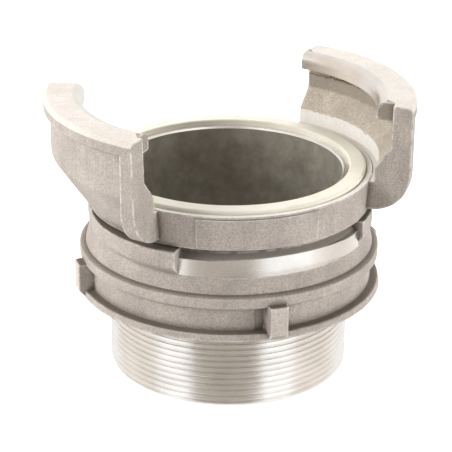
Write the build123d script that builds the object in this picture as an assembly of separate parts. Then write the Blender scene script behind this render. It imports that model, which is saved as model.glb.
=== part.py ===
from build123d import *

import os

# One half of a symmetrical quarter turn hose coupling for an 80 mm line.
# The origin is the centre of the threaded tail's end face, +Z runs up the waterway,
# and the two hooks stand on the +X and -X sides. Two such halves face each other:
# the hooks of each drop past the flange and the windows of the other, and its
# locking ring is then turned a quarter turn so that its cams draw the hooks in.
# All lengths are in millimetres and all angles in degrees.

# Threaded tail, G 3 pipe thread. The groove of the thread itself is left plain here.
THREAD_RADIUS = 43.942
THREAD_DEPTH = 1.479
THREAD_LENGTH = 23.4
THREAD_CHAMFER = 0.9
TAIL_WALL = 5.942
RELIEF_DEPTH = 1.8
NECK_LENGTH = 7.6

# Waterway and barrel above the tail
MOUTH_BORE_RADIUS = 40.8
BARREL_WALL = 5.3
BORE_STEP_HEIGHT = 30.4
BORE_STEP_LENGTH = 10.5
MOUTH_CHAMFER = 0.6

# Flange, its rim round the mouth, and the groove for the gasket between them
FLANGE_THICKNESS = 12.6
FLANGE_LAND = 2.6
FLANGE_DRAFT = 0.7
FLANGE_EDGE = 0.35
RIM_WIDTH = 2.45
RIM_DROP = 0.8
GASKET_WIDTH = 5.95
GASKET_HEIGHT = 7.0
GASKET_PROUD = 1.2
GASKET_EDGE = 0.7
GASKET_HEEL = 0.6
GASKET_CLEARANCE = 0.12
GROOVE_EDGE = 0.5

# Hooks
HOOK_ARC = 78.0
HOOK_END_DRAFT = 2.0
HOOK_DRAFT_ARC = 4.0
HOOK_WALL = 7.25
HOOK_TOP_CHAMFER = 1.4
HOOK_BELLY_RADIUS = 13.4
HOOK_BELLY_RISE = 1.9
HOLLOW_STEP = 1.05
HOLLOW_FLOOR = 4.0
HOLLOW_HEIGHT = 7.0
HOLLOW_FILLET = 1.75
LIP_CLEARANCE = 0.8
LIP_DEPTH = 6.55
LIP_UNDERSIDE = 20.3
LIP_UNDERSIDE_DROP = 0.5
LIP_THICKNESS = 6.3
LIP_NOSE_RADIUS = 3.3
LIP_START_SETBACK = 4.0
LIP_END_SETBACK = 2.0
FAR_END_TRIM_ARC = 2.0
SHORT_HOOK_TRIM_ARC = 11.0
PANEL_DEPTH = 2.3
PANEL_TOP_BORDER = 4.45
PANEL_TAPER_TOP = 6.0
PANEL_TAPER_FILLET = 3.0
PANEL_BORDER_ARC = 3.9

# Raised pad on the flange, cast with the body
PAD_START_ANGLE = -124.5
PAD_ARC = 48.5
PAD_THICKNESS = 0.4
PAD_MARGIN = 1.05

# Locking ring: heights of its zones, counted up from its lower face
LOWER_RIB_HEIGHT = 2.9
CHANNEL_HEIGHT = 7.85
CHANNEL_BLEND = 1.5
UPPER_RIB_HEIGHT = 3.4
PARKING_BLEND = 0.95
PARKING_HEIGHT = 5.6
BAND_HEIGHT = 6.1
LEDGE_SLOPE = 1.75
LEDGE_STEP = 1.65
RING_FLANGE_GAP = 0.5
RING_BORE_CLEARANCE = 0.06

# Locking ring: radii of the same zones, counted out from its wall under the flange
WALL_STEP = 0.05
PARKING_STEP = 1.35
UPPER_RIB_STEP = 3.6
CHANNEL_STEP = 1.0
LOWER_RIB_STEP = 4.05
LOWER_RIB_DRAFT = 0.6
LOWER_RIB_LEDGE = 0.35
RIB_EDGE = 0.45

# Windows: the band machined in each is flatter than the ring's own curve
WINDOW_ARC = 83.0
WINDOW_ANGLE = -90.0
BAND_DEPTH = 1.8
BAND_CURVE_RADIUS = 66.6

# Cams between the windows, highest where the next window starts
CAM_HIGH_STEP = 4.05
CAM_LOW_STEP = 1.6
CAM_OFFSET = 8.2
CAM_FACE_RISE = 3.4
CAM_SLOPE = 1.18
CAM_ROUNDING = 2.3

# Spanner lugs on the locking ring
LUG_COUNT = 4
LUG_ANGLE = -94.0
LUG_STEP = 6.4
LUG_TIP_WIDTH = 6.1
LUG_ROOT_WIDTH = 7.95
LUG_TOP_OVERLAP = 0.5
LUG_FOOT_CHAMFER = 1.75
LUG_EDGE = 0.6
LUG_POCKET_WIDTH = 3.3
LUG_POCKET_DEPTH = 0.7

# Quarter turn stop: a key on the barrel in an arc groove in the ring's bore
TURN_RANGE = 90.0
KEY_ANGLE = 0.0
KEY_ARC = 12.0
KEY_PROUD = 1.7
KEY_HEIGHT = 5.6
KEY_TOP_DROP = 2.8
KEY_CLEARANCE = 0.25
KEY_STOP_ARC = 0.45

# Retaining ring that holds the locking ring on the barrel
RETAINER_THICKNESS = 1.8
RETAINER_PROUD = 2.5
RETAINER_GROOVE_DEPTH = 1.4
RETAINER_CLEARANCE = 0.1
RETAINER_SIDE_CLEARANCE = 0.2
RETAINER_RUNNING_GAP = 0.3
RETAINER_SHOULDER = 2.1
RETAINER_OPENING_ARC = 22.0
COUNTERBORE_CLEARANCE = 0.8

# Heights worked out from the values above, from the tail's end face up
RING_BOTTOM = THREAD_LENGTH + NECK_LENGTH
CHANNEL_BOTTOM = RING_BOTTOM + LOWER_RIB_HEIGHT
CHANNEL_TOP = CHANNEL_BOTTOM + CHANNEL_HEIGHT
UPPER_RIB_BOTTOM = CHANNEL_TOP + CHANNEL_BLEND
UPPER_RIB_TOP = UPPER_RIB_BOTTOM + UPPER_RIB_HEIGHT
PARKING_BOTTOM = UPPER_RIB_TOP + PARKING_BLEND
BAND_BOTTOM = PARKING_BOTTOM + PARKING_HEIGHT
LEDGE_OUTER = BAND_BOTTOM + BAND_HEIGHT
LEDGE_INNER = LEDGE_OUTER + LEDGE_SLOPE
RING_TOP = LEDGE_INNER + LEDGE_STEP
FLANGE_BOTTOM = RING_TOP + RING_FLANGE_GAP
FLANGE_TOP = FLANGE_BOTTOM + FLANGE_THICKNESS
RIM_TOP = FLANGE_TOP - RIM_DROP
SEAL_HEIGHT = FLANGE_TOP + GASKET_PROUD
GROOVE_FLOOR = SEAL_HEIGHT - GASKET_HEIGHT
LIP_BOTTOM = SEAL_HEIGHT + LIP_UNDERSIDE
HOOK_TOP = LIP_BOTTOM + LIP_THICKNESS
KEY_TOP = FLANGE_BOTTOM - KEY_TOP_DROP
KEY_BOTTOM = KEY_TOP - KEY_HEIGHT
RETAINER_BOTTOM = RING_BOTTOM + RETAINER_SHOULDER
RETAINER_TOP = RETAINER_BOTTOM + RETAINER_THICKNESS
COUNTERBORE_FLOOR = RETAINER_TOP + RETAINER_RUNNING_GAP

# Radii worked out from the values above
TAIL_BORE_RADIUS = THREAD_RADIUS - TAIL_WALL
BARREL_RADIUS = MOUTH_BORE_RADIUS + BARREL_WALL
GASKET_INNER_RADIUS = MOUTH_BORE_RADIUS + RIM_WIDTH
GASKET_OUTER_RADIUS = GASKET_INNER_RADIUS + GASKET_WIDTH
GASKET_HEEL_RADIUS = GASKET_OUTER_RADIUS + GASKET_HEEL
GROOVE_OUTER_RADIUS = GASKET_HEEL_RADIUS + GASKET_CLEARANCE
FLANGE_TOP_RADIUS = GASKET_OUTER_RADIUS + FLANGE_LAND
FLANGE_BOTTOM_RADIUS = FLANGE_TOP_RADIUS - FLANGE_DRAFT
HOOK_JOIN_RADIUS = (GROOVE_OUTER_RADIUS + FLANGE_BOTTOM_RADIUS) / 2
LIP_RADIUS = FLANGE_TOP_RADIUS + LIP_CLEARANCE
HOLLOW_RADIUS = LIP_RADIUS + HOLLOW_STEP
HOOK_INNER_RADIUS = LIP_RADIUS + LIP_DEPTH
HOOK_OUTER_RADIUS = HOOK_INNER_RADIUS + HOOK_WALL
RING_BORE_RADIUS = BARREL_RADIUS + RING_BORE_CLEARANCE
RING_WALL_RADIUS = FLANGE_BOTTOM_RADIUS + WALL_STEP
PARKING_RADIUS = RING_WALL_RADIUS + PARKING_STEP
UPPER_RIB_RADIUS = RING_WALL_RADIUS + UPPER_RIB_STEP
CHANNEL_RADIUS = RING_WALL_RADIUS + CHANNEL_STEP
LOWER_RIB_RADIUS = RING_WALL_RADIUS + LOWER_RIB_STEP
BAND_RADIUS = RING_WALL_RADIUS - BAND_DEPTH
CAM_LOW_RADIUS = RING_WALL_RADIUS + CAM_LOW_STEP
CAM_HIGH_RADIUS = RING_WALL_RADIUS + CAM_HIGH_STEP
LUG_RADIUS = RING_WALL_RADIUS + LUG_STEP
KEY_RADIUS = BARREL_RADIUS + KEY_PROUD
STOP_GROOVE_RADIUS = KEY_RADIUS + KEY_CLEARANCE
CAM_ROOT_RADIUS = (STOP_GROOVE_RADIUS + BAND_RADIUS) / 2
CAM_ARC = 180.0 - WINDOW_ARC
RETAINER_OUTER_RADIUS = BARREL_RADIUS + RETAINER_PROUD
RETAINER_GROOVE_RADIUS = BARREL_RADIUS - RETAINER_GROOVE_DEPTH
COUNTERBORE_RADIUS = RETAINER_OUTER_RADIUS + COUNTERBORE_CLEARANCE
FAR = 2 * HOOK_OUTER_RADIUS


def section(corners):
    """Face in the XZ plane through (radius, height) corners; a third number rounds that corner."""
    outline = make_face(Polyline([corner[:2] for corner in corners], close=True))
    for corner in corners:
        if len(corner) == 3:
            vertex = outline.vertices().sort_by_distance((corner[0], corner[1], 0))[0]
            outline = fillet(vertex, corner[2])
    return Plane.XZ * outline


def turned(corners):
    """Full solid of revolution about the coupling's axis."""
    return revolve(section(corners), Axis.Z, 360)


def turned_arc(corners, start, arc):
    """Part of a solid of revolution, from the start angle and arc degrees long."""
    return Rot(0, 0, start) * revolve(section(corners), Axis.Z, arc)


def at_both_sides(solid):
    """The solid and its copy half a turn round the axis."""
    return [solid, Rot(0, 0, 180) * solid]


def barrel_and_tail():
    """Flange, barrel and threaded tail, with the waterway through them."""
    relief_radius = THREAD_RADIUS - RELIEF_DEPTH
    groove_inner = GASKET_INNER_RADIUS - GASKET_CLEARANCE
    groove_mouth = GASKET_OUTER_RADIUS + 3 * GASKET_CLEARANCE
    heel_top = GROOVE_FLOOR + GASKET_HEIGHT / 3 + GASKET_CLEARANCE
    return turned([
        (TAIL_BORE_RADIUS, 0),
        (THREAD_RADIUS - THREAD_DEPTH, 0),
        (THREAD_RADIUS, THREAD_CHAMFER),
        (THREAD_RADIUS, THREAD_LENGTH - RELIEF_DEPTH),
        (relief_radius, THREAD_LENGTH),
        (relief_radius, RING_BOTTOM - RELIEF_DEPTH),
        (BARREL_RADIUS - GROOVE_EDGE, RING_BOTTOM),
        (BARREL_RADIUS, RING_BOTTOM + GROOVE_EDGE),
        (BARREL_RADIUS, RETAINER_BOTTOM),
        (RETAINER_GROOVE_RADIUS, RETAINER_BOTTOM),
        (RETAINER_GROOVE_RADIUS, RETAINER_TOP + RETAINER_SIDE_CLEARANCE),
        (BARREL_RADIUS, RETAINER_TOP + RETAINER_SIDE_CLEARANCE),
        (BARREL_RADIUS, FLANGE_BOTTOM),
        (FLANGE_BOTTOM_RADIUS, FLANGE_BOTTOM, FLANGE_EDGE),
        (FLANGE_TOP_RADIUS, FLANGE_TOP, FLANGE_EDGE),
        (groove_mouth + GROOVE_EDGE, FLANGE_TOP),
        (groove_mouth, FLANGE_TOP - GROOVE_EDGE),
        (groove_mouth, heel_top),
        (GROOVE_OUTER_RADIUS, heel_top),
        (GROOVE_OUTER_RADIUS, GROOVE_FLOOR),
        (groove_inner, GROOVE_FLOOR),
        (groove_inner, RIM_TOP),
        (MOUTH_BORE_RADIUS + MOUTH_CHAMFER, RIM_TOP),
        (MOUTH_BORE_RADIUS, RIM_TOP - MOUTH_CHAMFER),
        (MOUTH_BORE_RADIUS, BORE_STEP_HEIGHT + BORE_STEP_LENGTH),
        (TAIL_BORE_RADIUS, BORE_STEP_HEIGHT),
    ])


def hook_wall():
    """Curved wall of one hook, with its rounded belly and the hollow inside it."""
    belly_bottom = FLANGE_BOTTOM + HOOK_BELLY_RISE
    hollow_floor = SEAL_HEIGHT + HOLLOW_FLOOR
    join_top = FLANGE_TOP - FLANGE_EDGE
    arc = HOOK_ARC + 2 * HOOK_DRAFT_ARC
    return turned_arc([
        (HOOK_JOIN_RADIUS, belly_bottom),
        (HOOK_OUTER_RADIUS, belly_bottom, HOOK_BELLY_RADIUS),
        (HOOK_OUTER_RADIUS, HOOK_TOP - HOOK_TOP_CHAMFER),
        (HOOK_OUTER_RADIUS - HOOK_TOP_CHAMFER, HOOK_TOP),
        (HOOK_INNER_RADIUS, HOOK_TOP),
        (HOOK_INNER_RADIUS, hollow_floor + HOLLOW_HEIGHT, HOLLOW_FILLET),
        (HOLLOW_RADIUS, hollow_floor, HOLLOW_FILLET),
        (HOLLOW_RADIUS, join_top),
        (HOOK_JOIN_RADIUS, join_top),
    ], -arc / 2, arc)


def hook_lip():
    """Inward lip at the top of one hook, set back from the wall's ends."""
    overlap = (HOOK_INNER_RADIUS + HOOK_OUTER_RADIUS) / 2
    start = LIP_START_SETBACK - HOOK_ARC / 2
    return turned_arc([
        (overlap, HOOK_TOP),
        (LIP_RADIUS, HOOK_TOP, LIP_NOSE_RADIUS),
        (LIP_RADIUS, LIP_BOTTOM),
        (HOOK_INNER_RADIUS, LIP_BOTTOM - LIP_UNDERSIDE_DROP),
        (overlap, LIP_BOTTOM - LIP_UNDERSIDE_DROP),
    ], start, HOOK_ARC - LIP_START_SETBACK - LIP_END_SETBACK)


def hook_panel():
    """The recess in the outer face of one hook, which leaves a border along its top and ends."""
    panel_radius = HOOK_OUTER_RADIUS - PANEL_DEPTH
    panel_top = HOOK_TOP - PANEL_TOP_BORDER
    outside = HOOK_OUTER_RADIUS + PANEL_DEPTH
    arc = HOOK_ARC - 2 * PANEL_BORDER_ARC
    return turned_arc([
        (FLANGE_TOP_RADIUS, FLANGE_BOTTOM - PANEL_DEPTH),
        (FLANGE_TOP_RADIUS, FLANGE_BOTTOM + HOOK_BELLY_RISE),
        (panel_radius, SEAL_HEIGHT + PANEL_TAPER_TOP, PANEL_TAPER_FILLET),
        (panel_radius, panel_top - PANEL_DEPTH / 2, PANEL_DEPTH / 2),
        (outside, panel_top + PANEL_DEPTH / 2),
        (outside, FLANGE_BOTTOM - PANEL_DEPTH),
    ], -arc / 2, arc)


def hook_end(side, arc):
    """Cutter for a hook's end, arc degrees from its middle; it leans, so that the hook has draft."""
    inner_side = Align.MIN if side > 0 else Align.MAX
    block = Box(FAR, FAR, 2 * FAR, align=(Align.MIN, inner_side, Align.CENTER))
    return Rot(0, 0, side * arc) * Pos(0, 0, HOOK_TOP) * Rot(side * HOOK_END_DRAFT, 0, 0) * block


def hook(start_trim, end_trim):
    """One hook, centred on +X, with so many degrees trimmed off its two ends."""
    blank = hook_wall() - hook_panel() + hook_lip()
    return blank - hook_end(-1, HOOK_ARC / 2 - start_trim) - hook_end(1, HOOK_ARC / 2 - end_trim)


def marking_pad():
    """Bare raised pad on the front of the flange."""
    root_radius = FLANGE_BOTTOM_RADIUS - PAD_MARGIN
    return turned_arc([
        (root_radius, FLANGE_BOTTOM + PAD_MARGIN),
        (FLANGE_BOTTOM_RADIUS + PAD_THICKNESS, FLANGE_BOTTOM + PAD_MARGIN),
        (FLANGE_TOP_RADIUS + PAD_THICKNESS, FLANGE_TOP - PAD_MARGIN),
        (root_radius, FLANGE_TOP - PAD_MARGIN),
    ], PAD_START_ANGLE, PAD_ARC)


def stop_key():
    """Key on the barrel that ends the ring's quarter turn."""
    root_radius = BARREL_RADIUS - KEY_PROUD
    return turned_arc([
        (root_radius, KEY_BOTTOM),
        (KEY_RADIUS, KEY_BOTTOM),
        (KEY_RADIUS, KEY_TOP),
        (root_radius, KEY_TOP),
    ], KEY_ANGLE - KEY_ARC / 2, KEY_ARC)


def body():
    """The casting: tail, barrel, flange and both hooks in one piece."""
    long_hook = hook(0, FAR_END_TRIM_ARC)
    short_hook = Rot(0, 0, 180) * hook(SHORT_HOOK_TRIM_ARC, 0)
    return barrel_and_tail() + long_hook + short_hook + marking_pad() + stop_key()


def gasket():
    """Moulded seal in the flange's groove, with a heel that keeps it in."""
    heel_top = GROOVE_FLOOR + GASKET_HEIGHT / 3
    return turned([
        (GASKET_INNER_RADIUS, GROOVE_FLOOR),
        (GASKET_HEEL_RADIUS, GROOVE_FLOOR),
        (GASKET_HEEL_RADIUS, heel_top),
        (GASKET_OUTER_RADIUS, heel_top),
        (GASKET_OUTER_RADIUS, SEAL_HEIGHT, GASKET_EDGE),
        (GASKET_INNER_RADIUS, SEAL_HEIGHT, GASKET_EDGE),
    ])


def ring_blank():
    """The locking ring as a body of revolution, before its cams, windows and lugs."""
    return turned([
        (RING_BORE_RADIUS, COUNTERBORE_FLOOR),
        (COUNTERBORE_RADIUS, COUNTERBORE_FLOOR),
        (COUNTERBORE_RADIUS, RING_BOTTOM),
        (LOWER_RIB_RADIUS + LOWER_RIB_DRAFT, RING_BOTTOM, RIB_EDGE),
        (LOWER_RIB_RADIUS, CHANNEL_BOTTOM - LOWER_RIB_LEDGE, RIB_EDGE),
        (CHANNEL_RADIUS, CHANNEL_BOTTOM),
        (CHANNEL_RADIUS, CHANNEL_TOP),
        (UPPER_RIB_RADIUS, UPPER_RIB_BOTTOM, RIB_EDGE),
        (UPPER_RIB_RADIUS, UPPER_RIB_TOP, RIB_EDGE),
        (PARKING_RADIUS, PARKING_BOTTOM),
        (RING_WALL_RADIUS, BAND_BOTTOM),
        (RING_WALL_RADIUS, RING_TOP),
        (RING_BORE_RADIUS, RING_TOP),
    ])


def window_core():
    """What stays inside a window: the machined band, with a ledge that slopes up to the bore."""
    curve = Cylinder(BAND_CURVE_RADIUS, FAR, align=(Align.CENTER, Align.CENTER, Align.MIN))
    band = Rot(0, 0, WINDOW_ANGLE) * Pos(BAND_RADIUS - BAND_CURVE_RADIUS, 0, 0) * curve
    ledge = turned([
        (0, 0),
        (FAR, 0),
        (FAR, LEDGE_OUTER),
        (BAND_RADIUS, LEDGE_OUTER),
        (RING_BORE_RADIUS, LEDGE_INNER),
        (0, LEDGE_INNER),
    ])
    return band & ledge


def window():
    """Cutter for one window, down to the lower edge of its band."""
    sector = turned_arc([
        (BARREL_RADIUS, BAND_BOTTOM),
        (FAR, BAND_BOTTOM),
        (FAR, FLANGE_BOTTOM),
        (BARREL_RADIUS, FLANGE_BOTTOM),
    ], WINDOW_ANGLE - WINDOW_ARC / 2, WINDOW_ARC)
    return sector - window_core()


def cam_disc(radius, angle):
    """Disc set off centre, which reaches the radius at the angle and sinks into the wall away from it."""
    disc_radius = radius - CAM_OFFSET
    face_bottom = BAND_BOTTOM + CAM_FACE_RISE
    cone_height = 2 * CAM_FACE_RISE
    disc = turned([
        (0, RING_TOP),
        (disc_radius, RING_TOP, RIB_EDGE),
        (disc_radius, face_bottom, CAM_ROUNDING),
        (disc_radius - CAM_SLOPE * cone_height, face_bottom - cone_height),
        (0, face_bottom - cone_height),
    ])
    return Rot(0, 0, angle) * Pos(CAM_OFFSET, 0, 0) * disc


def cam():
    """The cast wall between two windows on the +X side: a low end, and the cam rising to its high end."""
    start = WINDOW_ANGLE + WINDOW_ARC / 2
    sector = turned_arc([
        (CAM_ROOT_RADIUS, 0),
        (FAR, 0),
        (FAR, FAR),
        (CAM_ROOT_RADIUS, FAR),
    ], start, CAM_ARC)
    discs = cam_disc(CAM_LOW_RADIUS, start) + cam_disc(CAM_HIGH_RADIUS, start + CAM_ARC)
    return discs & sector


def lug():
    """One spanner lug on +X, with drafted sides and a chamfered foot."""
    root = CHANNEL_RADIUS - LUG_EDGE
    top = UPPER_RIB_BOTTOM + LUG_TOP_OVERLAP
    foot = CHANNEL_BOTTOM - LOWER_RIB_LEDGE
    plan = make_face(Polyline([
        (root, -LUG_ROOT_WIDTH / 2),
        (LUG_RADIUS, -LUG_TIP_WIDTH / 2),
        (LUG_RADIUS, LUG_TIP_WIDTH / 2),
        (root, LUG_ROOT_WIDTH / 2),
    ], close=True))
    profile = section([
        (root, foot - LUG_FOOT_CHAMFER),
        (LUG_RADIUS - LUG_FOOT_CHAMFER, foot - LUG_FOOT_CHAMFER),
        (LUG_RADIUS, foot),
        (LUG_RADIUS, top),
        (root, top),
    ])
    block = extrude(plan, FAR) & extrude(profile, LUG_ROOT_WIDTH / 2, both=True)
    face_edges = block.edges().filter_by_position(Axis.X, LUG_RADIUS - LUG_EDGE, LUG_RADIUS + LUG_EDGE)
    return fillet(face_edges, LUG_EDGE)


def lug_pocket():
    """Shallow pocket in the channel beside one lug."""
    width = LUG_POCKET_WIDTH + LUG_ROOT_WIDTH / 2
    pocket = Box(2 * LUG_POCKET_DEPTH, width, CHANNEL_HEIGHT, align=(Align.CENTER, Align.MAX, Align.MIN))
    return Pos(CHANNEL_RADIUS, 0, CHANNEL_BOTTOM) * pocket


def stop_groove():
    """Arc groove in the ring's bore that the stop key runs in, open at the top."""
    arc = TURN_RANGE + KEY_ARC + 2 * KEY_STOP_ARC
    floor = KEY_BOTTOM - KEY_CLEARANCE
    root_radius = BARREL_RADIUS - KEY_PROUD
    return turned_arc([
        (root_radius, floor),
        (STOP_GROOVE_RADIUS, floor),
        (STOP_GROOVE_RADIUS, FLANGE_BOTTOM),
        (root_radius, FLANGE_BOTTOM),
    ], KEY_ANGLE - KEY_ARC / 2 - KEY_STOP_ARC, arc)


def locking_ring():
    """The ring that turns on the barrel: cams and windows above, ribs and spanner lugs below."""
    solid = ring_blank() - stop_groove()
    for side in at_both_sides(window()):
        solid -= side
    for side in at_both_sides(cam()):
        solid += side
    spacing = 360 / LUG_COUNT
    for index in range(LUG_COUNT):
        solid -= Rot(0, 0, LUG_ANGLE + index * spacing) * lug_pocket()
    for index in range(LUG_COUNT):
        solid += Rot(0, 0, LUG_ANGLE + index * spacing) * lug()
    return solid


def retaining_ring():
    """Open spring ring that snaps into the barrel's groove under the locking ring."""
    inner = RETAINER_GROOVE_RADIUS + RETAINER_CLEARANCE
    return turned_arc([
        (inner, RETAINER_BOTTOM),
        (RETAINER_OUTER_RADIUS, RETAINER_BOTTOM),
        (RETAINER_OUTER_RADIUS, RETAINER_TOP),
        (inner, RETAINER_TOP),
    ], 90 + RETAINER_OPENING_ARC / 2, 360 - RETAINER_OPENING_ARC)


PIECES = {
    "body": body,
    "gasket": gasket,
    "locking_ring": locking_ring,
    "retaining_ring": retaining_ring,
}

os.makedirs("parts", exist_ok=True)
for name, make_piece in PIECES.items():
    export_step(make_piece(), f"parts/{name}.step")
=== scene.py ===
import math

import bpy
from mathutils import Matrix, Vector


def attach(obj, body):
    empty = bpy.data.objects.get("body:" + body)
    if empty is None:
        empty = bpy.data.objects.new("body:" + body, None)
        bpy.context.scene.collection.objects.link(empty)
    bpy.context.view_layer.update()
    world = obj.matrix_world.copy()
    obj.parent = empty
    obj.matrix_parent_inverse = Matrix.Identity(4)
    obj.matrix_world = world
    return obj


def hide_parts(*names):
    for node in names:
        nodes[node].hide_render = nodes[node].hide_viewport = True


MM = 0.001

# Radii and heights that part.py gives the body, in millimetres; heights count from the tail's end face
THREAD_RADIUS = 43.942
THREAD_CHAMFER = 0.9
NECK_RADIUS = 42.142
NECK_TOP = 29.2
RING_BOTTOM = 31.0
MOUTH_BORE_RADIUS = 40.8
GROOVE_FLOOR = 70.0
GROOVE_OUTER_RADIUS = 49.92
RIM_TOP = 75.0
FLANGE_TOP = 75.8
HOLLOW_FLOOR = 81.0
HOOK_INNER_RADIUS = 59.15
LIP_RADIUS = 52.6
LIP_NOSE_RADIUS = 3.3
LIP_BOTTOM = 97.3
HOOK_TOP = 103.6
HOOK_TOP_CHAMFER = 1.4

# The same of the locking ring, with half a window's arc in degrees; past LUG_FACE_RADIUS lie only its lugs
BAND_BOTTOM = 53.2
LEDGE_OUTER = 59.3
LEDGE_INNER = 61.05
RING_WALL_RADIUS = 51.15
BAND_RADIUS = 49.35
LUG_FACE_RADIUS = 56.4
WINDOW_HALF_ARC = 42.0

# How far a point may lie from such a size and still count as on it
TOLERANCE = 0.06

# The thread drawn on the tail, in millimetres: it runs up into the neck and ends below its top
THREAD_GROOVE = 1.0
THREAD_PITCH = 2.309
THREAD_TOP = 27.4

# How steeply the thread rises from its root, how flat the root is, and how fine its grid is
FLANK_STEEPNESS = 2.3
ROOT_FLAT = 0.1
THREAD_COLUMNS = 320
THREAD_ROWS = 153

# How far the painted shade reaches from corners, how far the edge wear and painted highlight reach from
# edges, and the painted shade and the ragged dark line under the lips, in metres
CORNER_SHADE_REACH = 4.0 * MM
EDGE_WEAR_AND_HIGHLIGHT_REACH = 1.2 * MM
HOLLOW_SHADE_HEIGHT = 89.8 * MM
HOLLOW_SHADE_SOFTNESS = 0.6 * MM
DARK_LINE_HEIGHT = 95.2 * MM
RAGGED_EDGE_REACH = 3.0 * MM
DARK_LINE_CORE = 0.15 * MM
DARK_LINE_WIDTH = 0.4 * MM

# How fine each noise over the materials is, in waves per metre
PATCH_WAVES = 75
STROKE_WAVES = 300
SPECK_WAVES = 1300
GRAIN_WAVES = 2300
DENT_WAVES = 230
RIPPLE_WAVES = 1100
CHIP_WAVES = 260
RAGGED_EDGE_WAVES = 420
TOOL_MARK_WAVES = 2600
SMEAR_WAVES = 80
STAIN_WAVES = 150
BORE_MARK_WAVES = 1200
BORE_DENT_WAVES = 800
BLOOM_WAVES = 120
RUBBER_WAVES = 1000
WIRE_MARK_WAVES = 5000

# Between which values most of a noise lies, and the parts of it that give patches, pits, specks and chips
NOISE_RANGE = (0.3, 0.7)
PATCH_RANGE = (0.36, 0.64)
PIT_RANGE = (0.3, 0.62)
SPECK_RANGE = (0.34, 0.58)
CHIP_RANGE = (0.38, 0.56)

# The strokes' noise is drawn out upright by seeing little of the height
STROKE_STRETCH = (1.0, 1.0, 0.1)

# How fully strokes, specks, pits, the painted shade under the lips and the ragged dark line cover the
# metal, and how dark some of them are
STROKE_SHARE = 0.15
SPECK_SHARE = 0.34
PIT_SHARE = 0.62
PIT_SHADE = 0.45
HOLLOW_SHADE_SHARE = 0.7
HOLLOW_SHADE_DARKNESS = 0.5
DARK_LINE_SHARE = 0.9
SMEAR_SHADE = 0.86

# Closeness to a corner or an edge where the painted shade in corners, the painted shade on ledges, and the
# edge wear with its painted highlight begin and are full, and how fully they cover
CORNER_SHADE_CLOSENESS = (0.16, 0.5)
CORNER_SHADE_SHARE = 0.85
LEDGE_SHADE_CLOSENESS = (0.02, 0.07)
LEDGE_SHADE_SHARE = 0.92
EDGE_WEAR_AND_HIGHLIGHT_CLOSENESS = (0.2, 0.42)
EDGE_WEAR_AND_HIGHLIGHT_SHARE = 0.9
EDGE_WEAR_AND_HIGHLIGHT_BETWEEN_CHIPS = 0.1

# How far up a face looks where the painted shade on ledges beside walls begins and where it is full
LEDGE_SHADE_SLOPE = (0.72, 0.88)

# How many rays look for an edge and for a corner round each point
EDGE_SAMPLES = 6
CORNER_SAMPLES = 8

# Roughness of each material from one end of its noise to the other
CAST_ROUGHNESS = (0.68, 0.46)
BORE_ROUGHNESS = (0.5, 0.65)
STEEL_ROUGHNESS = (0.28, 0.42)
TURNED_ROUGHNESS_SPREAD = 0.1

# How deep the bumps are and how round the edges look, in metres
DENT_DEPTH = 0.3 * MM
RIPPLE_DEPTH = 0.3 * MM
GRAIN_DEPTH = 0.25 * MM
TOOL_MARK_DEPTH = 0.05 * MM
BORE_MARK_DEPTH = 0.08 * MM
BORE_DENT_DEPTH = 0.1 * MM
RUBBER_DEPTH = 0.06 * MM
WIRE_MARK_DEPTH = 0.03 * MM
CAST_EDGE = 0.6 * MM
TURNED_EDGE = 0.25 * MM
RUBBER_EDGE = 0.3 * MM

# Colours of the turned metal, the waterway (darkened there as painted shade), the rubber and the steel; the
# castings have theirs further down
# The first is the colour of lightened outer edges, partly wear and partly a painted highlight
WORN_AND_HIGHLIT_EDGE_METAL = (0.9, 0.87, 0.82)
TURNED_METAL = (0.95, 0.93, 0.9)
LIP_METAL = (0.88, 0.83, 0.77)
BORE_DARK_PAINTED_SHADE = (0.24, 0.222, 0.182)
BORE_PALE_PAINTED_SHADE = (0.42, 0.392, 0.33)
RUBBER_DARK = (0.8, 0.755, 0.64)
RUBBER_PALE = (0.86, 0.82, 0.71)
STEEL_DARK = (0.3, 0.3, 0.29)
STEEL_PALE = (0.42, 0.41, 0.4)

# Walls of the studio as the object's gloss sees them, and the even light that falls from all of them
STUDIO_PANELS = (1.2, 1.2, 1.2)
STUDIO_SIDES = (0.95, 0.88, 0.82)
STUDIO_BACK = (1.0, 1.0, 1.0)
STUDIO_ROOM = (0.48, 0.43, 0.38)
STUDIO_LIGHT = (0.18, 0.175, 0.17)
WHITE = (1.0, 1.0, 1.0)

# Where one wall passes into the next, as cosines of the angle from the studio's bearing in degrees
STUDIO_BEARING = -2
SIDES_COSINES = (0.42, 0.3)
BACK_COSINES = (-0.5, -0.7)
ROOM_COSINES = (0.8, 0.86)

# The floor lies a hair under the tail, and to the camera it glows just enough to look white
FLOOR_WIDTH = 12
FLOOR_DROP = 0.2 * MM
FLOOR_GREY = (0.82, 0.82, 0.82, 1.0)
FLOOR_GLOW = 0.62

# The photograph's camera: angles in degrees, places in metres, lens and sensor in millimetres
CAMERA_AZIMUTH = -22.0
CAMERA_PLACE = (-0.21709, -0.53732, 0.29604)
CAMERA_AIM = (-0.00104, 0.00042, 0.05091)
CAMERA_ROLL = 0.49
CAMERA_LENS = 136.4
CAMERA_SENSOR = 36.0
CAMERA_CLIP = 10.0 * MM

# The point that the lamps face
LAMP_AIM = (0, 0, 50.0 * MM)


def add_node(tree, kind, values=(), **settings):
    """A new node with its attributes and input values set."""
    node = tree.nodes.new(kind)
    for key, value in settings.items():
        setattr(node, key, value)
    for key, value in dict(values).items():
        node.inputs[key].default_value = value
    return node


def noise(tree, place, scale, detail=2.0, roughness=0.5):
    """Noise over a position socket; the scale is in waves per metre."""
    values = {"Scale": scale, "Detail": detail, "Roughness": roughness}
    node = add_node(tree, "ShaderNodeTexNoise", values)
    tree.links.new(place, node.inputs["Vector"])
    return node.outputs["Fac"]


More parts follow.
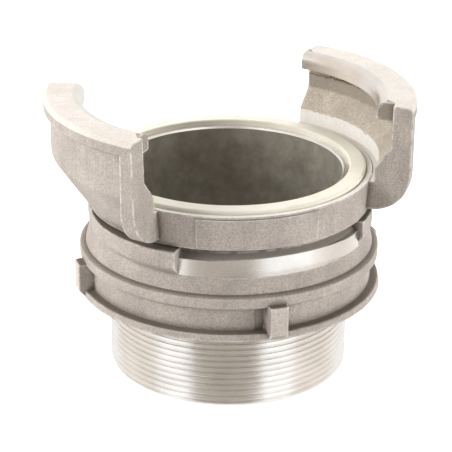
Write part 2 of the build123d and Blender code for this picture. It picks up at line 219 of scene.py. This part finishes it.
def remap(tree, value, low, high, new_low, new_high):
    """A value stretched from one range to another, and held inside it."""
    limits = {"From Min": low, "From Max": high, "To Min": new_low, "To Max": new_high}
    node = add_node(tree, "ShaderNodeMapRange", limits)
    tree.links.new(value, node.inputs["Value"])
    return node.outputs["Result"]


def math_node(tree, operation, first, second):
    """Sum, product or other operation on two sockets or numbers."""
    node = add_node(tree, "ShaderNodeMath", operation=operation)
    for socket, value in zip(node.inputs, (first, second)):
        if isinstance(value, (int, float)):
            socket.default_value = value
        else:
            tree.links.new(value, socket)
    return node.outputs[0]


def blend(tree, factor, first, second):
    """Colour mix of two colours or colour sockets."""
    node = add_node(tree, "ShaderNodeMix", data_type="RGBA")
    tree.links.new(factor, node.inputs["Factor"])
    for name, value in (("A", first), ("B", second)):
        socket = [i for i in node.inputs if i.name == name and i.type == "RGBA"][0]
        if isinstance(value, tuple):
            socket.default_value = (*value, 1.0)
        else:
            tree.links.new(value, socket)
    return [o for o in node.outputs if o.type == "RGBA"][0]


def darker(colour, share):
    """A share of a colour's light."""
    return tuple(share * channel for channel in colour)


def bump(tree, height, strength, distance, normal=None):
    """Bump over a height socket, on top of another normal."""
    node = add_node(tree, "ShaderNodeBump", {"Strength": strength, "Distance": distance})
    tree.links.new(height, node.inputs["Height"])
    if normal:
        tree.links.new(normal, node.inputs["Normal"])
    return node.outputs["Normal"]


def rounded_edges(tree, radius):
    """Normals that turn over the edges, as a cast or a deburred edge does."""
    return add_node(tree, "ShaderNodeBevel", {"Radius": radius}, samples=EDGE_SAMPLES).outputs["Normal"]


def closeness(tree, distance, inside):
    """0 in the open, rising to 1 in a corner, or with inside set, at an outer edge."""
    node = add_node(tree, "ShaderNodeAmbientOcclusion", {"Distance": distance}, samples=CORNER_SAMPLES)
    node.inside = inside
    node.only_local = inside
    return remap(tree, node.outputs["AO"], 1.0, 0.0, 0.0, 1.0)


def new_material(name, **uniform):
    """Principled material, its node tree, its shader and the object position."""
    material = bpy.data.materials.new(name)
    material.use_nodes = True
    tree = material.node_tree
    shader = tree.nodes["Principled BSDF"]
    for key, value in uniform.items():
        shader.inputs[key].default_value = value
    place = add_node(tree, "ShaderNodeTexCoord").outputs["Object"]
    return material, tree, shader, place


def height_above_tail(tree, place):
    """Height over the tail's end face, in metres."""
    parts = add_node(tree, "ShaderNodeSeparateXYZ")
    tree.links.new(place, parts.inputs[0])
    return parts.outputs["Z"]


def facing_up(tree):
    """1 on a surface that faces straight up, 0 on an upright one."""
    parts = add_node(tree, "ShaderNodeSeparateXYZ")
    tree.links.new(add_node(tree, "ShaderNodeTexCoord").outputs["Normal"], parts.inputs[0])
    return parts.outputs["Z"]


def cast_colour(tree, place, grain, pale, dark, pitting):
    """Soft patches of two tones, with upright strokes, specks and the dark pits of the sand."""
    patches = noise(tree, place, PATCH_WAVES, detail=4.0, roughness=0.6)
    colour = blend(tree, remap(tree, patches, *PATCH_RANGE, 0.0, 1.0), dark, pale)
    stretched = add_node(tree, "ShaderNodeVectorMath", operation="MULTIPLY")
    stretched.inputs[1].default_value = STROKE_STRETCH
    tree.links.new(place, stretched.inputs[0])
    strokes = noise(tree, stretched.outputs[0], STROKE_WAVES, detail=3.0, roughness=0.6)
    specks = noise(tree, place, SPECK_WAVES)
    layers = (
        (strokes, PIT_RANGE, STROKE_SHARE),
        (specks, SPECK_RANGE, SPECK_SHARE),
        (grain, PIT_RANGE, PIT_SHARE),
    )
    for pattern, limits, share in layers:
        cover = remap(tree, pattern, *limits, share * pitting, 0.0)
        colour = blend(tree, cover, colour, darker(dark, PIT_SHADE))
    return colour


def painted_shade_wear_and_highlight(tree, place, colour, painted_shade_colour):
    """The colour with painted shade in the corners and on what faces up beside a wall, and outer edges
    lightened as wear and as a painted highlight.
    """
    # Painted shade: the colour darkens where a corner hides the surface from light
    near_wall = closeness(tree, CORNER_SHADE_REACH, inside=False)
    painted_shade = remap(tree, near_wall, *CORNER_SHADE_CLOSENESS, 0.0, CORNER_SHADE_SHARE)
    # Painted shade on upward faces beside walls, where the walls block the light
    upward = remap(tree, facing_up(tree), *LEDGE_SHADE_SLOPE, 0.0, 1.0)
    ledge_shade = math_node(tree, "MULTIPLY", upward, remap(tree, near_wall, *LEDGE_SHADE_CLOSENESS, 0.0, LEDGE_SHADE_SHARE))
    colour = blend(tree, math_node(tree, "MAXIMUM", painted_shade, ledge_shade), colour, painted_shade_colour)
    # Outer edges lightened: wear, and a painted highlight along them
    near_edge = closeness(tree, EDGE_WEAR_AND_HIGHLIGHT_REACH, inside=True)
    worn_and_highlit = remap(tree, near_edge, *EDGE_WEAR_AND_HIGHLIGHT_CLOSENESS, 0.0, EDGE_WEAR_AND_HIGHLIGHT_SHARE)
    chips = noise(tree, place, CHIP_WAVES, detail=3.0)
    broken = remap(tree, chips, *CHIP_RANGE, EDGE_WEAR_AND_HIGHLIGHT_BETWEEN_CHIPS, 1.0)
    return blend(tree, math_node(tree, "MULTIPLY", worn_and_highlit, broken), colour, WORN_AND_HIGHLIT_EDGE_METAL)


def shade_painted_under_lip(tree, place, colour, dark, dark_line_colour):
    """The colour with painted shade on the upper wall of a hook's hollow under the lip, and a ragged dark
    line on it.
    """
    wander = noise(tree, place, RAGGED_EDGE_WAVES, detail=4.0, roughness=0.7)
    ragged = math_node(tree, "MULTIPLY", wander, RAGGED_EDGE_REACH)
    level = math_node(tree, "ADD", height_above_tail(tree, place), ragged)
    clean_below = HOLLOW_SHADE_HEIGHT - HOLLOW_SHADE_SOFTNESS
    full_above = HOLLOW_SHADE_HEIGHT + HOLLOW_SHADE_SOFTNESS
    # Painted shade on the upper wall of the hollow, under the lip
    hollow_shade = remap(tree, level, clean_below, full_above, 0.0, HOLLOW_SHADE_SHARE)
    colour = blend(tree, hollow_shade, colour, darker(dark, HOLLOW_SHADE_DARKNESS))
    gap = math_node(tree, "ABSOLUTE", math_node(tree, "SUBTRACT", level, DARK_LINE_HEIGHT), 0.0)
    return blend(tree, remap(tree, gap, DARK_LINE_CORE, DARK_LINE_WIDTH, DARK_LINE_SHARE, 0.0), colour, dark_line_colour)


def cast_aluminium(name, pale, dark, painted_shade, shaded_under_lip=False, shine=0.35, pitting=1.0):
    """Sand cast aluminium with painted shade in its corners and on ledges beside walls, and, for the
    hollows under the lips, painted shade on their upper walls.
    """
    material, tree, shader, place = new_material(name, Metallic=shine)
    grain = noise(tree, place, GRAIN_WAVES, detail=3.0, roughness=0.7)
    colour = cast_colour(tree, place, grain, pale, dark, pitting)
    if shaded_under_lip:
        colour = shade_painted_under_lip(tree, place, colour, dark, painted_shade)
    tree.links.new(painted_shade_wear_and_highlight(tree, place, colour, painted_shade), shader.inputs["Base Color"])
    tree.links.new(remap(tree, grain, *NOISE_RANGE, *CAST_ROUGHNESS), shader.inputs["Roughness"])
    dents = noise(tree, place, DENT_WAVES, detail=3.0)
    ripples = noise(tree, place, RIPPLE_WAVES, roughness=0.6)
    normal = rounded_edges(tree, CAST_EDGE)
    normal = bump(tree, dents, strength=0.4, distance=DENT_DEPTH, normal=normal)
    normal = bump(tree, ripples, strength=0.6, distance=RIPPLE_DEPTH, normal=normal)
    normal = bump(tree, grain, strength=0.9, distance=GRAIN_DEPTH, normal=normal)
    tree.links.new(normal, shader.inputs["Normal"])
    return material


def round_axis_position(tree, place):
    """Position by radius and height alone, so that a noise over it gives turning marks."""
    parts = add_node(tree, "ShaderNodeSeparateXYZ")
    tree.links.new(place, parts.inputs[0])
    flat = add_node(tree, "ShaderNodeCombineXYZ")
    tree.links.new(parts.outputs["X"], flat.inputs["X"])
    tree.links.new(parts.outputs["Y"], flat.inputs["Y"])
    radius = add_node(tree, "ShaderNodeVectorMath", operation="LENGTH")
    tree.links.new(flat.outputs[0], radius.inputs[0])
    joined = add_node(tree, "ShaderNodeCombineXYZ")
    tree.links.new(radius.outputs["Value"], joined.inputs["X"])
    tree.links.new(parts.outputs["Z"], joined.inputs["Z"])
    return joined.outputs[0]


def machined_aluminium(name, colour, marks, roughness):
    """Turned aluminium with fine tool marks round the axis."""
    material, tree, shader, place = new_material(name, Metallic=1.0, Anisotropic=0.6)
    shader.inputs["Anisotropic Rotation"].default_value = 0.25
    rings = round_axis_position(tree, place)
    lines = noise(tree, rings, TOOL_MARK_WAVES, detail=3.0, roughness=0.7)
    smears = remap(tree, noise(tree, place, SMEAR_WAVES, detail=3.0), *NOISE_RANGE, 0.0, 1.0)
    tree.links.new(blend(tree, smears, darker(colour, SMEAR_SHADE), colour), shader.inputs["Base Color"])
    rough = remap(tree, lines, *NOISE_RANGE, roughness, roughness + TURNED_ROUGHNESS_SPREAD)
    tree.links.new(rough, shader.inputs["Roughness"])
    tangent = add_node(tree, "ShaderNodeTangent", direction_type="RADIAL", axis="Z")
    tree.links.new(tangent.outputs[0], shader.inputs["Tangent"])
    normal = rounded_edges(tree, TURNED_EDGE)
    normal = bump(tree, lines, strength=marks, distance=TOOL_MARK_DEPTH, normal=normal)
    tree.links.new(normal, shader.inputs["Normal"])
    return material


def bore_aluminium_painted_shade():
    """The waterway, its colour darkened as painted shade inside it, with blotches of tone."""
    material, tree, shader, place = new_material("bore_aluminium_painted_shade", Metallic=0.3)
    blots = noise(tree, place, STAIN_WAVES, detail=6.0, roughness=0.72)
    stains = remap(tree, blots, *NOISE_RANGE, 0.0, 1.0)
    # Both tones are darkened as painted shade inside the waterway
    tree.links.new(blend(tree, stains, BORE_DARK_PAINTED_SHADE, BORE_PALE_PAINTED_SHADE), shader.inputs["Base Color"])
    tree.links.new(remap(tree, stains, 0.0, 1.0, *BORE_ROUGHNESS), shader.inputs["Roughness"])
    marks = noise(tree, round_axis_position(tree, place), BORE_MARK_WAVES)
    dents = noise(tree, place, BORE_DENT_WAVES, detail=3.0)
    normal = bump(tree, marks, strength=0.25, distance=BORE_MARK_DEPTH)
    normal = bump(tree, dents, strength=0.2, distance=BORE_DENT_DEPTH, normal=normal)
    tree.links.new(normal, shader.inputs["Normal"])
    return material


def seal_rubber():
    """Cream moulded rubber with a faint bloom."""
    material, tree, shader, place = new_material("cream_rubber", Roughness=0.5)
    shader.inputs["Specular IOR Level"].default_value = 0.35
    bloom = remap(tree, noise(tree, place, BLOOM_WAVES, detail=4.0), *NOISE_RANGE, 0.0, 1.0)
    tree.links.new(blend(tree, bloom, RUBBER_DARK, RUBBER_PALE), shader.inputs["Base Color"])
    normal = rounded_edges(tree, RUBBER_EDGE)
    skin = noise(tree, place, RUBBER_WAVES)
    normal = bump(tree, skin, strength=0.12, distance=RUBBER_DEPTH, normal=normal)
    tree.links.new(normal, shader.inputs["Normal"])
    return material


def spring_steel():
    """Drawn steel of the retaining ring."""
    material, tree, shader, place = new_material("retainer_steel", Metallic=1.0)
    lines = noise(tree, round_axis_position(tree, place), WIRE_MARK_WAVES)
    tree.links.new(blend(tree, lines, STEEL_DARK, STEEL_PALE), shader.inputs["Base Color"])
    tree.links.new(remap(tree, lines, *NOISE_RANGE, *STEEL_ROUGHNESS), shader.inputs["Roughness"])
    tree.links.new(bump(tree, lines, strength=0.2, distance=WIRE_MARK_DEPTH), shader.inputs["Normal"])
    return material


def radii_and_heights(points):
    """Radii and heights of some points, in millimetres."""
    radii = [math.hypot(point[0], point[1]) / MM for point in points]
    heights = [point[2] / MM for point in points]
    return radii, heights


def body_zone(points):
    """Which surface of the body a face belongs to."""
    radii, heights = radii_and_heights(points)
    low, high = min(heights), max(heights)
    inner, outer = min(radii), max(radii)
    on_tail = TOLERANCE < high < NECK_TOP + TOLERANCE
    if on_tail and inner > NECK_RADIUS - TOLERANCE and outer < THREAD_RADIUS + TOLERANCE:
        return "thread"
    if outer < MOUTH_BORE_RADIUS + TOLERANCE and high > TOLERANCE:
        return "bore"
    if high < RING_BOTTOM + TOLERANCE:
        return "machined"
    upright = high - low > TOLERANCE and inner > GROOVE_OUTER_RADIUS + TOLERANCE
    if low > RIM_TOP + TOLERANCE and high < HOLLOW_FLOOR + TOLERANCE and outer < HOOK_INNER_RADIUS:
        return "cast" if upright and high < FLANGE_TOP + TOLERANCE else "faced"
    if low > GROOVE_FLOOR - TOLERANCE and outer < LIP_RADIUS - TOLERANCE and not upright:
        return "machined"
    if low > LIP_BOTTOM - TOLERANCE and outer < LIP_RADIUS + LIP_NOSE_RADIUS + TOLERANCE:
        return "lip"
    if low > FLANGE_TOP - TOLERANCE and outer < HOOK_INNER_RADIUS + TOLERANCE:
        return "hollow"
    if low > HOOK_TOP - HOOK_TOP_CHAMFER - TOLERANCE:
        return "crown"
    return "cast"


def ring_zone(points):
    """Which surface of the locking ring a face belongs to."""
    radii, heights = radii_and_heights(points)
    across = abs(sum(point[0] for point in points))
    along = abs(sum(point[1] for point in points))
    from_window = math.degrees(math.atan2(across, along))
    in_band = min(heights) > BAND_BOTTOM - TOLERANCE and max(heights) < LEDGE_INNER + TOLERANCE
    if in_band and from_window < WINDOW_HALF_ARC and max(radii) < RING_WALL_RADIUS + TOLERANCE:
        return "ledge" if min(heights) > LEDGE_OUTER - TOLERANCE else "machined"
    if max(radii) < BAND_RADIUS:
        return "machined"
    if min(radii) > LUG_FACE_RADIUS:
        return "lug"
    return "cast"


def thread_radius(angle, height):
    """Radius of the helical thread in millimetres, chamfered at the end and running out into the neck."""
    turns = (height - THREAD_PITCH * angle / (2 * math.pi)) / THREAD_PITCH
    rise = 1 - abs(2 * (turns % 1) - 1)
    flank = min(max(FLANK_STEEPNESS * rise - ROOT_FLAT, 0.0), 1.0)
    rounded = flank * flank * (3 - 2 * flank)
    crest = (flank + rounded) / 2
    radius = THREAD_RADIUS - THREAD_GROOVE * (1 - crest)
    chamfer = THREAD_RADIUS - THREAD_GROOVE * (1 - height / THREAD_CHAMFER)
    runout = THREAD_RADIUS - (height - THREAD_TOP)
    return max(min(radius, chamfer, runout), NECK_RADIUS)


def thread_grid():
    """Points and faces of the thread and the neck over it, as a grid round the tail."""
    points, faces = [], []
    for row in range(THREAD_ROWS):
        height = NECK_TOP * row / (THREAD_ROWS - 1)
        for column in range(THREAD_COLUMNS):
            angle = 2 * math.pi * column / THREAD_COLUMNS
            radius = thread_radius(angle, height) * MM
            points.append((radius * math.cos(angle), radius * math.sin(angle), height * MM))
    for row in range(THREAD_ROWS - 1):
        below = row * THREAD_COLUMNS
        above = below + THREAD_COLUMNS
        for column in range(THREAD_COLUMNS):
            right = (column + 1) % THREAD_COLUMNS
            faces.append((below + column, below + right, above + right, above + column))
    return points, faces


def threaded_body(node, materials):
    """The body with its plain tail and neck changed for the thread; all its other faces are the solid's."""
    points = [tuple(vertex.co) for vertex in node.data.vertices]
    faces, zones = [], []
    for polygon in node.data.polygons:
        zone = body_zone([points[index] for index in polygon.vertices])
        if zone != "thread":
            faces.append(tuple(polygon.vertices))
            zones.append(zone)
    first = len(points)
    grid_points, grid_faces = thread_grid()
    points += grid_points
    faces += [tuple(first + index for index in face) for face in grid_faces]
    zones += ["thread"] * len(grid_faces)
    mesh = bpy.data.meshes.new("threaded_body")
    mesh.from_pydata(points, [], faces)
    names = list(materials)
    for name in names:
        mesh.materials.append(materials[name])
    mesh.polygons.foreach_set("material_index", [names.index(zone) for zone in zones])
    mesh.polygons.foreach_set("use_smooth", [True] * len(faces))
    mesh.update()
    body = bpy.data.objects.new("threaded_body", mesh)
    bpy.context.scene.collection.objects.link(body)
    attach(body, "body")
    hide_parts("body")


def dress(node, materials, zone_of=None):
    """Gives a CAD node its materials, face by face where it has several."""
    names = list(materials)
    node.data.materials.clear()
    for name in names:
        node.data.materials.append(materials[name])
    for polygon in node.data.polygons:
        if zone_of:
            corners = [node.data.vertices[index].co for index in polygon.vertices]
            polygon.material_index = names.index(zone_of(corners))
        else:
            polygon.material_index = 0


def direction(azimuth, elevation):
    """Unit vector at an angle round from the photograph's camera, and above the horizon."""
    turn = math.radians(CAMERA_AZIMUTH + azimuth)
    lift = math.radians(elevation)
    return Vector((math.sin(turn) * math.cos(lift), -math.cos(turn) * math.cos(lift), math.sin(lift)))


def add_lamp(name, azimuth, elevation, distance, width, height, power):
    """Soft box that faces the object; its gloss shows the studio in the lamp's place."""
    light = bpy.data.lights.new(name, "AREA")
    light.shape = "RECTANGLE"
    light.size = width
    light.size_y = height
    light.energy = power
    lamp = bpy.data.objects.new(name, light)
    aim = Vector(LAMP_AIM)
    lamp.location = aim + direction(azimuth, elevation) * distance
    lamp.rotation_mode = "QUATERNION"
    lamp.rotation_quaternion = (aim - lamp.location).to_track_quat("-Z", "Y")
    lamp.visible_glossy = False
    bpy.context.scene.collection.objects.link(lamp)


def background_rays(tree):
    """1 for camera, glossy and transmission rays, which see the background; and 1 for glossy rays alone."""
    path = add_node(tree, "ShaderNodeLightPath")
    first = math_node(tree, "MAXIMUM", path.outputs["Is Camera Ray"], path.outputs["Is Transmission Ray"])
    return math_node(tree, "MAXIMUM", first, path.outputs["Is Glossy Ray"]), path.outputs["Is Glossy Ray"]


def add_world():
    """White studio round the object, with a darker room behind the camera."""
    world = bpy.data.worlds.new("studio")
    world.use_nodes = True
    bpy.context.scene.world = world
    tree = world.node_tree
    seen, glossy = background_rays(tree)
    ray = add_node(tree, "ShaderNodeTexCoord").outputs["Generated"]
    level = add_node(tree, "ShaderNodeVectorMath", operation="MULTIPLY")
    level.inputs[1].default_value = (1.0, 1.0, 0.0)
    tree.links.new(ray, level.inputs[0])
    bearing = add_node(tree, "ShaderNodeVectorMath", operation="NORMALIZE")
    tree.links.new(level.outputs[0], bearing.inputs[0])
    facing = add_node(tree, "ShaderNodeVectorMath", operation="DOT_PRODUCT")
    facing.inputs[1].default_value = direction(STUDIO_BEARING, 0)
    tree.links.new(bearing.outputs[0], facing.inputs[0])
    studio = STUDIO_PANELS
    walls = ((SIDES_COSINES, STUDIO_SIDES), (BACK_COSINES, STUDIO_BACK), (ROOM_COSINES, STUDIO_ROOM))
    for cosines, wall in walls:
        share = remap(tree, facing.outputs["Value"], *cosines, 0.0, 1.0)
        studio = blend(tree, share, studio, wall)
    backdrop = blend(tree, glossy, WHITE, studio)
    colour = blend(tree, seen, STUDIO_LIGHT, backdrop)
    tree.links.new(colour, tree.nodes["Background"].inputs["Color"])


def add_floor():
    """Plain white floor that keeps the object's shadow; the object's gloss looks past it at the studio."""
    bpy.ops.mesh.primitive_plane_add(size=FLOOR_WIDTH, location=(0, 0, -FLOOR_DROP))
    floor = bpy.context.object
    floor.name = "floor"
    material = bpy.data.materials.new("floor_white")
    material.use_nodes = True
    tree = material.node_tree
    shader = tree.nodes["Principled BSDF"]
    shader.inputs["Base Color"].default_value = FLOOR_GREY
    shader.inputs["Roughness"].default_value = 0.9
    shader.inputs["Specular IOR Level"].default_value = 0.0
    shader.inputs["Emission Color"].default_value = (*WHITE, 1.0)
    seen, glossy = background_rays(tree)
    tree.links.new(remap(tree, seen, 0.0, 1.0, 0.0, FLOOR_GLOW), shader.inputs["Emission Strength"])
    clear = add_node(tree, "ShaderNodeBsdfTransparent")
    either = add_node(tree, "ShaderNodeMixShader")
    tree.links.new(glossy, either.inputs[0])
    tree.links.new(shader.outputs[0], either.inputs[1])
    tree.links.new(clear.outputs[0], either.inputs[2])
    tree.links.new(either.outputs[0], tree.nodes["Material Output"].inputs["Surface"])
    floor.data.materials.append(material)


def add_camera():
    """Camera where the photograph was taken from."""
    camera = bpy.data.objects.new("camera", bpy.data.cameras.new("camera"))
    camera.data.lens = CAMERA_LENS
    camera.data.sensor_width = CAMERA_SENSOR
    camera.location = CAMERA_PLACE
    look = (Vector(CAMERA_AIM) - Vector(CAMERA_PLACE)).to_track_quat("-Z", "Y").to_matrix()
    camera.rotation_mode = "QUATERNION"
    camera.rotation_quaternion = (look @ Matrix.Rotation(math.radians(CAMERA_ROLL), 3, "Z")).to_quaternion()
    camera.data.clip_start = CAMERA_CLIP
    bpy.context.scene.collection.objects.link(camera)
    bpy.context.scene.camera = camera


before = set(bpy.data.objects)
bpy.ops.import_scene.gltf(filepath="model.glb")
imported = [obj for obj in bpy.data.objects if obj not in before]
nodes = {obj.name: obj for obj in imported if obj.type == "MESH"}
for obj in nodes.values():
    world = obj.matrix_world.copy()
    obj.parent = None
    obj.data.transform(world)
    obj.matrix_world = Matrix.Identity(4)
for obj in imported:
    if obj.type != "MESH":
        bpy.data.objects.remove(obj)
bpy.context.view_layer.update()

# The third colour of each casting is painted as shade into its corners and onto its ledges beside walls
cast = cast_aluminium(
    "cast_aluminium",
    pale=(0.7, 0.627, 0.565),
    dark=(0.55, 0.487, 0.437),
    painted_shade=(0.15, 0.125, 0.1),
)
# Paler copy of the cast for the hooks' hollows: painted light on them, with painted shade on their upper
# walls under the lips
hollow = cast_aluminium(
    "hollow_aluminium_painted_light_and_shade",
    pale=(0.86, 0.77, 0.66),
    dark=(0.62, 0.54, 0.445),
    painted_shade=(0.13, 0.1, 0.075),
    shaded_under_lip=True,
)
# Paler copy of the cast for the hook tops: painted light where they face up
crown = cast_aluminium(
    "crown_aluminium_painted_light",
    pale=(0.95, 0.89, 0.82),
    dark=(0.87, 0.8, 0.73),
    painted_shade=(0.5, 0.45, 0.39),
    pitting=0.45,
)
# Near white copy of the cast for the flange's top and the floors of the hollows: painted light and
# reflection, with a light painted shade
faced = cast_aluminium(
    "faced_aluminium_painted_light",
    pale=(0.96, 0.925, 0.875),
    dark=(0.9, 0.86, 0.81),
    painted_shade=(0.78, 0.735, 0.67),
    shine=0.1,
    pitting=0.45,
)
# Paler copy of the cast for the ledge in the ring's window: painted lighter, with a lighter painted shade
# under the flange
ledge = cast_aluminium(
    "ledge_aluminium_painted_light_and_shade",
    pale=(0.85, 0.77, 0.7),
    dark=(0.72, 0.65, 0.58),
    painted_shade=(0.3, 0.265, 0.23),
    shine=0.1,
)
# Paler copy of the cast for the lugs: painted light on their faces
lug = cast_aluminium(
    "lug_aluminium_painted_light",
    pale=(0.9, 0.81, 0.73),
    dark=(0.75, 0.67, 0.605),
    painted_shade=(0.3, 0.26, 0.22),
)
lip = machined_aluminium("lip_aluminium", LIP_METAL, marks=0.35, roughness=0.24)
turned = machined_aluminium("turned_aluminium", TURNED_METAL, marks=0.35, roughness=0.22)
thread = machined_aluminium("thread_aluminium", TURNED_METAL, marks=0.25, roughness=0.22)

threaded_body(nodes["body"], {
    "cast": cast,
    "hollow": hollow,
    "crown": crown,
    "faced": faced,
    "lip": lip,
    "machined": turned,
    "bore": bore_aluminium_painted_shade(),
    "thread": thread,
})
dress(nodes["locking_ring"], {"cast": cast, "ledge": ledge, "lug": lug, "machined": turned}, ring_zone)
dress(nodes["gasket"], {"rubber": seal_rubber()})
dress(nodes["retaining_ring"], {"steel": spring_steel()})

add_floor()
add_world()
add_lamp("lamp_back", azimuth=172, elevation=54, distance=1.4, width=0.9, height=0.9, power=15)
add_lamp("lamp_left", azimuth=-80, elevation=24, distance=1.3, width=0.8, height=0.7, power=21)
add_lamp("lamp_right", azimuth=69, elevation=12, distance=1.3, width=0.8, height=0.7, power=15)
add_camera()

bpy.context.scene.view_settings.view_transform = "Standard"
